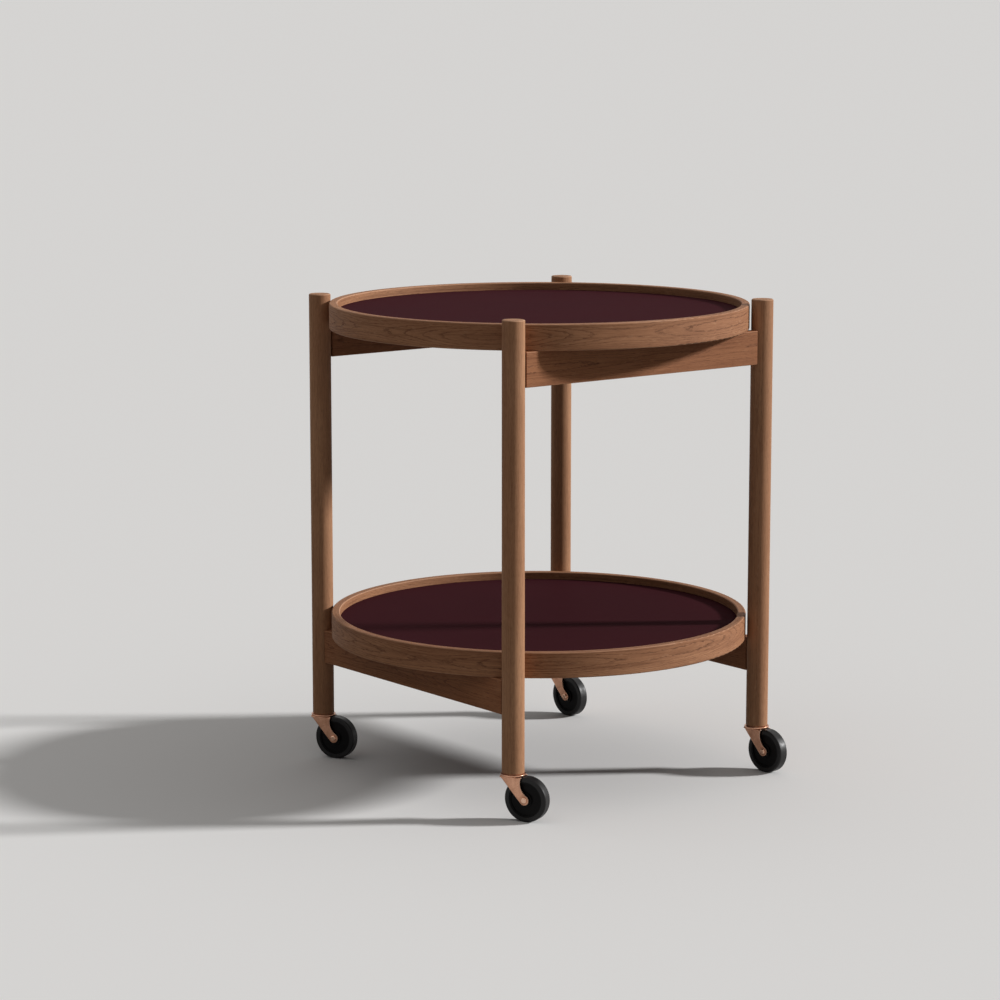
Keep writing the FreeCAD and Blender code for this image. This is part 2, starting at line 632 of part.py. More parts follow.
def make_caster(name, sign_x, sign_y):
    """Socket in the leg, then the swivelling pieces, turned to the caster's heading."""
    place = (signed(sign_x, LEG_OFFSET), signed(sign_y, LEG_OFFSET), "0", f"heading_{name}")
    make_socket(name, place)
    make_stem(name, place)
    new_ring(f"caster_clip_{name}", place, f"{CLIP_SEAT_RADIUS} + fit_gap", CLIP_RADIUS,
             CLIP_UNDER, CLIP_TOP, "360 - clip_mouth")
    new_ring(f"caster_washer_{name}", place, STEM_BORE, "washer_diameter / 2", CROWN_TOP, WASHER_TOP)
    make_fork(name, place)
    make_axle(name, place)
    make_wheel(name, place)


def check_document():
    """Stop if any object failed or any node has no sound solid."""
    for item in doc.Objects:
        if "Invalid" in item.State or "Error" in item.State:
            raise RuntimeError(f"{item.Name} failed: {item.State}")
    for node in nodes:
        if node.Shape.isNull() or not node.Shape.isValid() or not node.Shape.Solids:
            raise RuntimeError(f"{node.Label} has no valid solid")


make_tray("top", TOP_TRAY)
make_tray("bottom", BOTTOM_TRAY)
for leg_name, signs in LEGS.items():
    make_leg(leg_name, *signs)
make_top_rail("front", -1)
make_top_rail("back", 1)
make_bottom_rail("left", -1)
make_bottom_rail("right", 1)
make_dowels()
make_pivots()
for leg_name, signs in LEGS.items():
    make_caster(leg_name, *signs)

doc.recompute()
check_document()
os.makedirs("parts", exist_ok=True)
for node in nodes:
    node.Shape.exportStep(f"parts/{node.Label}.step")
    print(node.Label, len(node.Shape.Solids), round(node.Shape.Volume, 1))
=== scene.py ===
import json
import math
import bpy
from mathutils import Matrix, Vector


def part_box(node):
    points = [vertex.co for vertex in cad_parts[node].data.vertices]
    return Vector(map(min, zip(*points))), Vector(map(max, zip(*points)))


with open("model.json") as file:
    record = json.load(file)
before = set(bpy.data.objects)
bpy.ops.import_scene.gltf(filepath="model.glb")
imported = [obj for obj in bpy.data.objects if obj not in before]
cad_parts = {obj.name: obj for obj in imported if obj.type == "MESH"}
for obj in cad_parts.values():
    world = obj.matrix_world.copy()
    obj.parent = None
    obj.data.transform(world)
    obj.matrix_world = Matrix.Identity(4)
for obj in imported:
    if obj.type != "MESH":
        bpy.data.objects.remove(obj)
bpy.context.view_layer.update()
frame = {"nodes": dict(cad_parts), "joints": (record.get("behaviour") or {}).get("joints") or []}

# Lengths are in metres, angles in degrees and colours linear, unless a name or comment says otherwise.

LEG_NAMES = ("front", "right", "back", "left")
TRAY_NAMES = ("top", "bottom")

# Camera at the photograph's viewing angle
CAMERA_LENS_MM = 112.3
CAMERA_DISTANCE = 3.702
CAMERA_HEIGHT = 0.938
CAMERA_AZIMUTH = -38.84
CAMERA_PITCH_DOWN = 9.415
CAMERA_TURN_LEFT = 0.722

# Light on the table: a key lamp, and a fill that grows from the horizon to straight up
KEY_AZIMUTH = 56.0
KEY_ELEVATION = 23.0
KEY_STRENGTH = 3.5
KEY_SOFTNESS = 6.0
FILL_HORIZON = 0.06
FILL_ZENITH = 0.42

# What is seen round the table; heights run from 0 at the horizon to 1 straight up
BACKDROP_COLOUR = (1.0, 0.988, 0.970)
BACKDROP_HORIZON = 0.665
BACKDROP_WALL = 0.30
BACKDROP_ZENITH = 0.85
WALL_FADE = (0.10, 0.24)
PANEL_STRENGTH = 1.0
PANEL_COUNT = 3
PANEL_BEARING = 10.0
PANEL_SIDES = (0.35, 0.65)
PANEL_FOOT = (0.17, 0.25)
PANEL_HEAD = (0.60, 0.80)
FLOOR_SIZE = 600.0
FLOOR_COLOUR = (0.89, 0.88, 0.87)
FLOOR_BOUNCE = (0.30, 0.29, 0.28)

# Sockets of a mix node that take the share and two colours, and the one that gives the blend
MIX_INPUTS = (0, 6, 7)
MIX_OUTPUT = 2

# Noise lies about this middle, and mostly within this span
NOISE_MIDDLE = 0.5
NOISE_SPAN = (0.3, 0.7)

# Sizes of the wooden pieces that their grain follows
RIM_RADIUS = 0.245
RIM_HALF_WALL = 0.005
RIM_SKIN = 0.0004
LEG_RADIUS = 0.013
RAIL_HALF_THICKNESS = 0.007

# Oak of each kind of piece: distance to the tree's heart, share of figure, tint
RIM_OAK = {"Heart": 0.008, "Figure": 1.0, "Tint": (0.96, 0.91, 0.88)}
RAIL_OAK = {"Heart": 0.018, "Figure": 0.8, "Tint": (0.84, 0.69, 0.58)}
LEG_OAK = {"Heart": 0.060, "Figure": 0.10, "Tint": (1.05, 1.07, 1.08)}

# Place of each piece along one long plank, so that no two show the same grain
RIM_PIECES = {"top_tray_rim": 4.35, "bottom_tray_rim": 9.05}
TOP_RAIL_PIECES = {"top_rail_front": 12.3, "top_rail_back": 15.2}
BOTTOM_RAIL_PIECES = {"bottom_rail_left": 18.9, "bottom_rail_right": 21.4}
FIRST_LEG_PIECE = 25.0
LEG_PIECE_STEP = 2.6

# Bearing of the middle of each rim's strip, whose ends meet on the opposite side
RIM_MIDDLE_BEARING = 225

# Turn of each leg's grain about its axis, in radians
FIRST_LEG_TURN = 0.7
LEG_TURN_STEP = 1.3

# Oak colours, and the share that each layer takes
OAK_LIGHT = (0.470, 0.240, 0.126)
OAK_MID = (0.375, 0.178, 0.090)
OAK_EARLY = (0.140, 0.056, 0.026)
OAK_FIBRE = (0.215, 0.092, 0.043)
OAK_PORE = (0.080, 0.030, 0.014)
OAK_FLECK = (0.53, 0.30, 0.175)
# Edge colour: partly real wear, partly a painted highlight where the rounded edges catch the light
OAK_WORN_AND_HIGHLIGHT = (0.74, 0.46, 0.31)
EARLY_SHARE = 0.76
PLAIN_STREAK_SHARE = 0.16
FIGURED_STREAK_SHARE = 0.62
FIBRE_SHARE = 0.46
PORE_SHARE = 0.66
FLECK_SHARE = 0.26
WORN_AND_HIGHLIGHT_SHARE = 0.60
EDGE_WIDTH = 0.0014

# Growth rings: how far the heart and the figure wander, and how fast per metre
RING_WIDTH = 0.0010
HEART_SPAN = 0.022
HEART_DRIFT = 2.6
SWAY_SPAN = 0.028
SWAY_DRIFT = 1.9
SWAY_START = 11.0
RING_WARP = 0.0012
RING_JAG = 0.0008
WARP_RATE = (6.0, 70.0, 70.0)
JAG_RATE = (110.0, 420.0, 420.0)

# Early wood within one ring, in shares of its width, and how strong it is from ring to ring
EARLY_START = (0.0, 0.05)
EARLY_END = (0.05, 0.36)
VIGOUR_DRIFT = 0.8
VIGOUR_SPAN = (0.40, 0.90)
PLAIN_EARLY = 0.25

# Finer layers: changes per metre along, across and into the plank, and the noise that shows them
BROAD_RATE = (4.0, 30.0, 30.0)
STREAK_RATE = (11.0, 330.0, 330.0)
STREAK_SHOWN = (0.43, 0.73)
FIBRE_RATE = (24.0, 900.0, 900.0)
FIBRE_SHOWN = (0.44, 0.76)
PORE_RATE = (130.0, 1700.0, 1700.0)
PORE_SHOWN = (0.52, 0.62)
FLECK_RATE = (80.0, 240.0, 1100.0)
FLECK_SHOWN = (0.62, 0.74)

# Strength of pores in late wood, and the share of early wood at which they are at their strongest
PORE_IN_LATE_WOOD = 0.26
PORE_FULL_AT = 0.7

# Oak surface
OAK_ROUGHNESS = (0.58, 0.70)
OAK_PORE_ROUGHNESS = 0.16
OAK_GLOSS = 0.20
FIBRE_HEIGHT = 0.35
PORE_DEPTH = 0.75
EARLY_DEPTH = 0.22
OAK_BUMP = (0.00022, 0.55)

# Laminate
LAMINATE_DARK = (0.050, 0.0130, 0.0168)
LAMINATE_LIGHT = (0.054, 0.0143, 0.0182)
LAMINATE_GRAIN = (0.033, 0.0082, 0.0107)
LAMINATE_CLOUD_RATE = 9.0
LAMINATE_GRAIN_RATE = 1500.0
LAMINATE_GRAIN_SHOWN = (0.45, 0.75)
LAMINATE_GRAIN_SHARE = 0.30
LAMINATE_ROUGHNESS = (0.66, 0.70)
LAMINATE_GRAIN_ROUGHNESS = 0.06
LAMINATE_GLOSS = 0.004
LAMINATE_BUMP = (0.00005, 0.30)

# Fibre board
BOARD_PALE = (0.47, 0.34, 0.21)
BOARD_DARK = (0.34, 0.235, 0.14)
BOARD_FLAKE = (0.22, 0.15, 0.09)
BOARD_FIBRE_RATE = (300.0, 900.0, 1600.0)
BOARD_FLAKE_RATE = 420.0
BOARD_FLAKE_SHOWN = (0.55, 0.75)
BOARD_FLAKE_SHARE = 0.5
BOARD_ROUGHNESS = (0.7, 0.9)
BOARD_BUMP = (0.0002, 0.5)

# Beech dowels
BEECH_PALE = (0.60, 0.42, 0.26)
BEECH_DARK = (0.47, 0.31, 0.18)
BEECH_FLECK = (0.26, 0.15, 0.08)
BEECH_FIBRE_RATE = (30.0, 1100.0, 1100.0)
BEECH_FLECK_RATE = (260.0, 1400.0, 1400.0)
BEECH_FLECK_SHOWN = (0.62, 0.72)
BEECH_FLECK_SHARE = 0.6
BEECH_ROUGHNESS = (0.5, 0.62)
BEECH_BUMP = (0.0001, 0.4)

# Metals: clean, tarnished and edge colour (partly wear, partly a painted highlight), roughness, and brush
# marks per metre
BRASS = {
    "clean": (0.66, 0.36, 0.235),
    "tarnished": (0.43, 0.215, 0.135),
    "bright": (0.90, 0.62, 0.48),
    "roughness_span": (0.20, 0.32),
    "brush_rate": (700.0, 700.0, 60.0),
}
# Rivet heads: the fork's brass in a lighter tone, a painted highlight, with lower roughness
RIVET_BRASS = {
    "clean": (0.82, 0.54, 0.40),
    "tarnished": (0.62, 0.37, 0.25),
    "bright": (0.94, 0.72, 0.60),
    "roughness_span": (0.10, 0.18),
    "brush_rate": (900.0, 900.0, 900.0),
}
STEEL = {
    "clean": (0.62, 0.61, 0.60),
    "tarnished": (0.42, 0.41, 0.40),
    "bright": (0.72, 0.71, 0.70),
    "roughness_span": (0.22, 0.36),
    "brush_rate": (900.0, 900.0, 80.0),
}
TARNISH_RATE = 75.0
TARNISH_SHOWN = (0.32, 0.72)
BRUSH_SHOWN = (0.40, 0.75)
BRUSH_SHARE = 0.30
BRUSH_ROUGHNESS = 0.10
BRUSH_HEIGHT = 0.7
PIT_RATE = 1300.0
PIT_HEIGHT = 0.3
METAL_EDGE = 0.0007
METAL_EDGE_SAMPLES = 8
METAL_WEAR_HIGHLIGHT_SHOWN = (0.01, 0.20)
METAL_WEAR_HIGHLIGHT_SHARE = 0.85
METAL_WEAR_ROUGHNESS = 0.16
METAL_BUMP = (0.00004, 0.5)

# Black wheel pieces; scuffs begin at a distance from the axle
TYRE = {
    "base": (0.0056, 0.0050, 0.0054),
    "scuffed": (0.018, 0.016, 0.016),
    "roughness_span": (0.32, 0.42),
    "scuff_from": 0.0252,
    "gloss": 0.32,
}
HUB = {
    "base": (0.0038, 0.0034, 0.0036),
    "scuffed": (0.009, 0.008, 0.008),
    "roughness_span": (0.36, 0.48),
    "scuff_from": 0.0195,
    "gloss": 0.10,
}
MOULDING_RATE = 1400.0
MOULDING_SIDE_RATE = 90.0
SPECK_RATE = 900.0
SPECK_SHOWN = (0.4, 0.7)
SPECK_SHARE = 0.6
SPECK_GAIN = 1.9
DUST_RATE = 120.0
DUST_SHOWN = (0.35, 0.70)
LEAST_SCUFF = 0.25
SCUFF_FADE = 0.0006
SCUFF_SHARE = 0.7
SCUFF_ROUGHNESS = 0.18
MOULDING_HEIGHT = 0.5
SPECK_HEIGHT = 0.5
WHEEL_BUMP = (0.00008, 0.5)


class Graph:
    """Adds and links the nodes of one shader tree."""

    def __init__(self, tree):
        self.tree = tree
        tree.nodes.clear()

    def add(self, kind, **settings):
        node = self.tree.nodes.new(kind)
        for name, value in settings.items():
            setattr(node, name, value)
        return node

    def put(self, socket, value):
        """Link a socket to another one, or set its value."""
        if isinstance(value, bpy.types.NodeSocket):
            self.tree.links.new(value, socket)
        elif isinstance(value, tuple) and socket.type == "RGBA":
            socket.default_value = (*value, 1.0)
        else:
            socket.default_value = value

    def fill(self, node, values):
        """Fill a node's first inputs in order."""
        for index, value in enumerate(values):
            self.put(node.inputs[index], value)
        return node.outputs[0]

    def math(self, operation, *values):
        return self.fill(self.add("ShaderNodeMath", operation=operation), values)

    def plus(self, one, other):
        return self.math("ADD", one, other)

    def minus(self, one, other):
        return self.math("SUBTRACT", one, other)

    def times(self, one, other):
        return self.math("MULTIPLY", one, other)

    def ease(self, value, low, high, start=0.0, end=1.0):
        """Smooth step from one value to another."""
        node = self.add("ShaderNodeMapRange", interpolation_type="SMOOTHSTEP")
        return self.fill(node, (value, low, high, start, end))

    def spread(self, value, low, high, start, end):
        """Straight map from one range to another, held at its ends."""
        return self.fill(self.add("ShaderNodeMapRange", clamp=True), (value, low, high, start, end))

    def join(self, x, y, z):
        return self.fill(self.add("ShaderNodeCombineXYZ"), (x, y, z))

    def split(self, vector):
        node = self.add("ShaderNodeSeparateXYZ")
        self.put(node.inputs[0], vector)
        return node.outputs[0], node.outputs[1], node.outputs[2]

    def vector(self, operation, *values):
        """Vector operation whose result is a vector, or a number for a dot product or a length."""
        node = self.add("ShaderNodeVectorMath", operation=operation)
        self.fill(node, values)
        gives_number = operation in ("DOT_PRODUCT", "LENGTH")
        return node.outputs["Value" if gives_number else "Vector"]

    def noise(self, vector, rate, detail=2.0, roughness=0.5):
        """Noise that changes at one rate per metre, or at a rate for each axis."""
        if isinstance(rate, tuple):
            vector = self.vector("MULTIPLY", vector, rate)
            rate = 1.0
        node = self.add("ShaderNodeTexNoise", noise_dimensions="3D")
        self.put(node.inputs["Vector"], vector)
        self.put(node.inputs["Scale"], rate)
        self.put(node.inputs["Detail"], detail)
        self.put(node.inputs["Roughness"], roughness)
        return node.outputs["Fac"]

    def drift(self, value, rate, detail=1.0):
        """Smooth wandering of one number along another."""
        node = self.add("ShaderNodeTexNoise", noise_dimensions="1D")
        self.put(node.inputs["W"], value)
        self.put(node.inputs["Scale"], rate)
        self.put(node.inputs["Detail"], detail)
        return node.outputs["Fac"]

    def mix(self, share, one, other):
        """Blend of two colours."""
        node = self.add("ShaderNodeMix", data_type="RGBA")
        for socket, value in zip(MIX_INPUTS, (share, one, other)):
            self.put(node.inputs[socket], value)
        return node.outputs[MIX_OUTPUT]

    def bump(self, height, distance, strength, normal=None):
        node = self.add("ShaderNodeBump")
        if normal is not None:
            self.put(node.inputs["Normal"], normal)
        self.put(node.inputs["Height"], height)
        self.put(node.inputs["Distance"], distance)
        self.put(node.inputs["Strength"], strength)
        return node.outputs["Normal"]

    def place(self):
        """Place on the piece, in the table's frame."""
        return self.add("ShaderNodeTexCoord").outputs["Object"]

    def surface(self, **sockets):
        """Principled shader to the output; a name's underscores stand for spaces."""
        shader = self.add("ShaderNodeBsdfPrincipled")
        for name, value in sockets.items():
            self.put(shader.inputs[name.replace("_", " ")], value)
        output = self.add("ShaderNodeOutputMaterial")
        self.tree.links.new(shader.outputs[0], output.inputs[0])


def new_material(name):
    material = bpy.data.materials.new(name)
    material.use_nodes = True
    return material, Graph(material.node_tree)


def dress(node_name, material):
    """Give a CAD node its material."""
    for material_slot in frame["nodes"][node_name].material_slots:
        material_slot.material = material


def early_wood(g, given, along, place):
    """Early wood of the growth rings: 1 where it is darkest, 0 in the late wood."""
    figure = given["Figure"]
    heart = g.plus(g.times(g.times(g.drift(along, HEART_DRIFT), figure), HEART_SPAN), given["Heart"])
    wander = g.minus(g.drift(g.plus(along, SWAY_START), SWAY_DRIFT), NOISE_MIDDLE)
    off_side = g.minus(given["Across"], g.times(g.times(wander, figure), SWAY_SPAN))
    off_deep = g.plus(given["Depth"], heart)
    radius = g.math("SQRT", g.plus(g.times(off_side, off_side), g.times(off_deep, off_deep)))
    warp = g.noise(place, WARP_RATE)
    radius = g.plus(radius, g.times(g.minus(warp, NOISE_MIDDLE), RING_WARP))
    jag = g.noise(place, JAG_RATE, roughness=0.6)
    radius = g.plus(radius, g.times(g.minus(jag, NOISE_MIDDLE), RING_JAG))
    turn = g.math("DIVIDE", radius, RING_WIDTH)
    phase = g.math("FRACT", turn)
    early = g.times(g.ease(phase, *EARLY_START), g.ease(phase, *EARLY_END, 1.0, 0.0))
    vigour = g.spread(g.drift(turn, VIGOUR_DRIFT, detail=2.0), *NOISE_SPAN, *VIGOUR_SPAN)
    return g.times(g.times(early, vigour), g.spread(figure, 0.0, 1.0, PLAIN_EARLY, 1.0))


def make_oak_group():
    """Solid oak: growth rings, pores in the early wood, fibres, ray flecks, and edges lightened partly as
    wear and partly as a painted highlight.
    """
    group = bpy.data.node_groups.new("oak_grain", "ShaderNodeTree")
    for name in ("Along", "Across", "Depth", "Piece", "Edge", "Heart", "Figure"):
        group.interface.new_socket(name, in_out="INPUT", socket_type="NodeSocketFloat")
    group.interface.new_socket("Tint", in_out="INPUT", socket_type="NodeSocketColor")
    group.interface.new_socket("Color", in_out="OUTPUT", socket_type="NodeSocketColor")
    group.interface.new_socket("Roughness", in_out="OUTPUT", socket_type="NodeSocketFloat")
    group.interface.new_socket("Height", in_out="OUTPUT", socket_type="NodeSocketFloat")
    g = Graph(group)
    given = g.add("NodeGroupInput").outputs
    along = g.plus(given["Along"], given["Piece"])
    place = g.join(along, given["Across"], given["Depth"])

    early = early_wood(g, given, along, place)
    broad = g.noise(place, BROAD_RATE)
    streak = g.noise(place, STREAK_RATE, detail=3.0, roughness=0.6)
    fibre = g.noise(place, FIBRE_RATE, detail=3.0, roughness=0.6)
    pore_place = g.ease(g.noise(place, PORE_RATE, detail=1.0), *PORE_SHOWN)
    pore = g.times(pore_place, g.spread(early, 0.0, PORE_FULL_AT, PORE_IN_LATE_WOOD, 1.0))
    fleck = g.ease(g.noise(place, FLECK_RATE, detail=1.0), *FLECK_SHOWN)
    streak_limit = g.spread(given["Figure"], 0.0, 1.0, PLAIN_STREAK_SHARE, FIGURED_STREAK_SHARE)
    streak_share = g.times(g.ease(streak, *STREAK_SHOWN), streak_limit)

    colour = g.mix(g.ease(broad, *NOISE_SPAN), OAK_LIGHT, OAK_MID)
    colour = g.mix(g.times(early, EARLY_SHARE), colour, OAK_EARLY)
    colour = g.mix(streak_share, colour, OAK_FIBRE)
    colour = g.mix(g.ease(fibre, *FIBRE_SHOWN, 0.0, FIBRE_SHARE), colour, OAK_FIBRE)
    colour = g.mix(g.times(pore, PORE_SHARE), colour, OAK_PORE)
    colour = g.mix(g.times(fleck, FLECK_SHARE), colour, OAK_FLECK)
    # Edges lightened: partly wear, partly a painted highlight where the light catches them
    colour = g.mix(g.times(given["Edge"], WORN_AND_HIGHLIGHT_SHARE), colour, OAK_WORN_AND_HIGHLIGHT)
    colour = g.vector("MULTIPLY", colour, given["Tint"])
    roughness = g.plus(g.spread(fibre, *NOISE_SPAN, *OAK_ROUGHNESS), g.times(pore, OAK_PORE_ROUGHNESS))
    hollow = g.plus(g.times(pore, PORE_DEPTH), g.times(early, EARLY_DEPTH))
    height = g.minus(g.times(fibre, FIBRE_HEIGHT), hollow)

    given_back = g.add("NodeGroupOutput").inputs
    g.put(given_back["Color"], colour)
    g.put(given_back["Roughness"], roughness)
    g.put(given_back["Height"], height)
    return group


def begin_oak(node_name):
    """Material of an oak piece, the place from the piece's middle, and half the piece's height."""
    material, g = new_material(f"oak_{node_name}")
    low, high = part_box(node_name)
    x, y, z = g.split(g.vector("SUBTRACT", g.place(), tuple((low + high) / 2)))
    return material, g, x, y, z, (high.z - low.z) / 2


def finish_oak(g, **given):
    """Close an oak material whose grain coordinates are known."""
    oak = g.add("ShaderNodeGroup", node_tree=oak_group)
    for name, value in given.items():
        g.put(oak.inputs[name], value)
    normal = g.bump(oak.outputs["Height"], *OAK_BUMP)
    g.surface(Base_Color=oak.outputs["Color"], Roughness=oak.outputs["Roughness"], Normal=normal,
              Specular_IOR_Level=OAK_GLOSS)


def edge_of(g, one, half_one, other, half_other):
    """1 along the edges where two faces meet, 0 away from them."""
    near_one = g.minus(g.math("ABSOLUTE", one), half_one - EDGE_WIDTH)
    near_other = g.minus(g.math("ABSOLUTE", other), half_other - EDGE_WIDTH)
    return g.ease(g.math("MINIMUM", near_one, near_other), 0.0, EDGE_WIDTH)


def turned(g, x, y, angle):
    """Two coordinates in axes that are turned by an angle in radians."""
    cosine, sine = math.cos(angle), math.sin(angle)
    return (g.plus(g.times(x, cosine), g.times(y, sine)),
            g.minus(g.times(y, cosine), g.times(x, sine)))


def make_rail_oak(node_name, runs_along_x, piece):
    """Plank with its grain along the rail."""
    material, g, x, y, z, half_height = begin_oak(node_name)
    along, depth = (x, y) if runs_along_x else (y, x)
    edge = edge_of(g, z, half_height, depth, RAIL_HALF_THICKNESS)
    finish_oak(g, Along=along, Across=z, Depth=depth, Piece=piece, Edge=edge, **RAIL_OAK)
    dress(node_name, material)


def make_leg_oak(node_name, piece, turn):
    """Turned leg with its grain along its axis."""
    material, g, x, y, z, half_height = begin_oak(node_name)
    across, depth = turned(g, x, y, turn)
    off_axis = g.vector("LENGTH", g.join(x, y, 0.0))
    edge = edge_of(g, z, half_height, off_axis, LEG_RADIUS)
    finish_oak(g, Along=z, Across=across, Depth=depth, Piece=piece, Edge=edge, **LEG_OAK)
    dress(node_name, material)


def make_rim_oak(node_name, piece):
    """Bent strip with its grain round the tray. The depth of its rings is held just under its faces."""
    material, g, x, y, z, half_height = begin_oak(node_name)
    forward, sideways = turned(g, x, y, math.radians(RIM_MIDDLE_BEARING))
    along = g.times(g.math("ARCTAN2", sideways, forward), RIM_RADIUS)
    depth = g.minus(g.vector("LENGTH", g.join(x, y, 0.0)), RIM_RADIUS)
    edge = edge_of(g, z, half_height, depth, RIM_HALF_WALL)
    deepest = RIM_HALF_WALL - RIM_SKIN
    depth = g.spread(depth, -deepest, deepest, -deepest, deepest)
    finish_oak(g, Along=along, Across=z, Depth=depth, Piece=piece, Edge=edge, **RIM_OAK)
    dress(node_name, material)


def make_laminate():
    """Satin laminate with a fine grain and faint clouds."""
    material, g = new_material("laminate_burgundy")
    place = g.place()
    clouds = g.noise(place, LAMINATE_CLOUD_RATE, detail=3.0)
    grain = g.noise(place, LAMINATE_GRAIN_RATE, roughness=0.6)
    colour = g.mix(g.ease(clouds, *NOISE_SPAN), LAMINATE_DARK, LAMINATE_LIGHT)
    grain_share = g.ease(grain, *LAMINATE_GRAIN_SHOWN, 0.0, LAMINATE_GRAIN_SHARE)
    colour = g.mix(grain_share, colour, LAMINATE_GRAIN)
    roughness = g.spread(clouds, *NOISE_SPAN, *LAMINATE_ROUGHNESS)
    roughness = g.plus(roughness, g.times(grain, LAMINATE_GRAIN_ROUGHNESS))
    normal = g.bump(grain, *LAMINATE_BUMP)
    g.surface(Base_Color=colour, Roughness=roughness, Normal=normal, Specular_IOR_Level=LAMINATE_GLOSS)
    return material


def make_metal(name, clean, tarnished, bright, roughness_span, brush_rate):
    """Satin metal: tarnish in clouds, fine brush marks, and edges brightened partly as wear and partly as
    a painted highlight.
    """
    material, g = new_material(name)
    place = g.place()
    clouds = g.noise(place, TARNISH_RATE, detail=4.0, roughness=0.6)
    marks = g.noise(place, brush_rate)
    pits = g.noise(place, PIT_RATE, detail=1.0)
    colour = g.mix(g.ease(clouds, *TARNISH_SHOWN), clean, tarnished)
    colour = g.mix(g.ease(marks, *BRUSH_SHOWN, 0.0, BRUSH_SHARE), colour, tarnished)
    soft_edge = g.add("ShaderNodeBevel", samples=METAL_EDGE_SAMPLES)
    g.put(soft_edge.inputs["Radius"], METAL_EDGE)
    plain_normal = g.add("ShaderNodeNewGeometry").outputs["Normal"]
    bent = g.minus(1.0, g.vector("DOT_PRODUCT", soft_edge.outputs[0], plain_normal))
    # Edge mask: the bright colour goes on the edges partly as wear, partly as a painted highlight
    wear_and_highlight = g.ease(bent, *METAL_WEAR_HIGHLIGHT_SHOWN)
    colour = g.mix(g.times(wear_and_highlight, METAL_WEAR_HIGHLIGHT_SHARE), colour, bright)
    roughness = g.plus(g.spread(clouds, *NOISE_SPAN, *roughness_span), g.times(marks, BRUSH_ROUGHNESS))
    roughness = g.plus(roughness, g.times(wear_and_highlight, METAL_WEAR_ROUGHNESS))
    height = g.plus(g.times(marks, BRUSH_HEIGHT), g.times(pits, PIT_HEIGHT))
    normal = g.bump(height, *METAL_BUMP, soft_edge.outputs[0])
    g.surface(Base_Color=colour, Roughness=roughness, Normal=normal, Metallic=1.0)
    return material


def make_wheel_black(name, node_name, joint_name, base, scuffed, roughness_span, scuff_from, gloss):
    """Black moulded wheel piece: fine moulding rings on its faces, a scuffed band at its outside."""
    material, g = new_material(name)
    joint = next(item for item in frame["joints"] if item["name"] == joint_name)
    place = g.place()
    from_hub = g.vector("SUBTRACT", place, tuple(joint["pos_m"]))
    aside = g.vector("DOT_PRODUCT", from_hub, tuple(joint["axis"]))
    reach = g.math("SQRT", g.minus(g.vector("DOT_PRODUCT", from_hub, from_hub), g.times(aside, aside)))
    ring_place = g.join(g.times(reach, MOULDING_RATE), g.times(aside, MOULDING_SIDE_RATE), 0.0)
    rings = g.noise(ring_place, 1.0, detail=1.0)
    specks = g.noise(place, SPECK_RATE, detail=3.0, roughness=0.65)
    dust = g.noise(place, DUST_RATE, detail=4.0, roughness=0.6)
    scuff_band = g.ease(reach, scuff_from, scuff_from + SCUFF_FADE)
    scuff = g.times(scuff_band, g.ease(dust, *DUST_SHOWN, LEAST_SCUFF, 1.0))
    speck_colour = tuple(value * SPECK_GAIN for value in base)
    colour = g.mix(g.ease(specks, *SPECK_SHOWN, 0.0, SPECK_SHARE), base, speck_colour)
    colour = g.mix(g.times(scuff, SCUFF_SHARE), colour, scuffed)
    roughness = g.plus(g.spread(dust, *NOISE_SPAN, *roughness_span), g.times(scuff, SCUFF_ROUGHNESS))
    height = g.plus(g.times(rings, MOULDING_HEIGHT), g.times(specks, SPECK_HEIGHT))
    normal = g.bump(height, *WHEEL_BUMP)
    g.surface(Base_Color=colour, Roughness=roughness, Normal=normal, Specular_IOR_Level=gloss)
    dress(node_name, material)


def make_board():
    """Fibre board: short fibres, and flakes that are darker."""
    material, g = new_material("board_fibres")
    place = g.place()
    fibres = g.noise(place, BOARD_FIBRE_RATE, detail=3.0, roughness=0.7)
    flakes = g.noise(place, BOARD_FLAKE_RATE)
    colour = g.mix(g.ease(fibres, *NOISE_SPAN), BOARD_PALE, BOARD_DARK)
    colour = g.mix(g.ease(flakes, *BOARD_FLAKE_SHOWN, 0.0, BOARD_FLAKE_SHARE), colour, BOARD_FLAKE)
    normal = g.bump(fibres, *BOARD_BUMP)
    g.surface(Base_Color=colour, Roughness=g.spread(fibres, *NOISE_SPAN, *BOARD_ROUGHNESS), Normal=normal)
    return material


def make_dowel_wood():
    """Beech: fine straight fibres with small dark flecks."""
    material, g = new_material("dowel_beech")
    place = g.place()
    fibres = g.noise(place, BEECH_FIBRE_RATE, detail=3.0)
    flecks = g.noise(place, BEECH_FLECK_RATE, detail=1.0)
    colour = g.mix(g.ease(fibres, *NOISE_SPAN), BEECH_PALE, BEECH_DARK)
    colour = g.mix(g.ease(flecks, *BEECH_FLECK_SHOWN, 0.0, BEECH_FLECK_SHARE), colour, BEECH_FLECK)
    normal = g.bump(fibres, *BEECH_BUMP)
    g.surface(Base_Color=colour, Roughness=g.spread(fibres, *NOISE_SPAN, *BEECH_ROUGHNESS), Normal=normal)
    return material


def seen_rays(g):
    """1 for rays that show the backdrop, 0 for rays that light the table."""
    rays = g.add("ShaderNodeLightPath").outputs
    seen = g.math("MAXIMUM", rays["Is Camera Ray"], rays["Is Glossy Ray"])
    return g.math("MAXIMUM", seen, rays["Is Transmission Ray"])


def overhead(g, height, horizon, zenith):
    """Strength that grows from the horizon to straight up."""
    return g.ease(height, 0.0, 1.0, horizon, zenith)


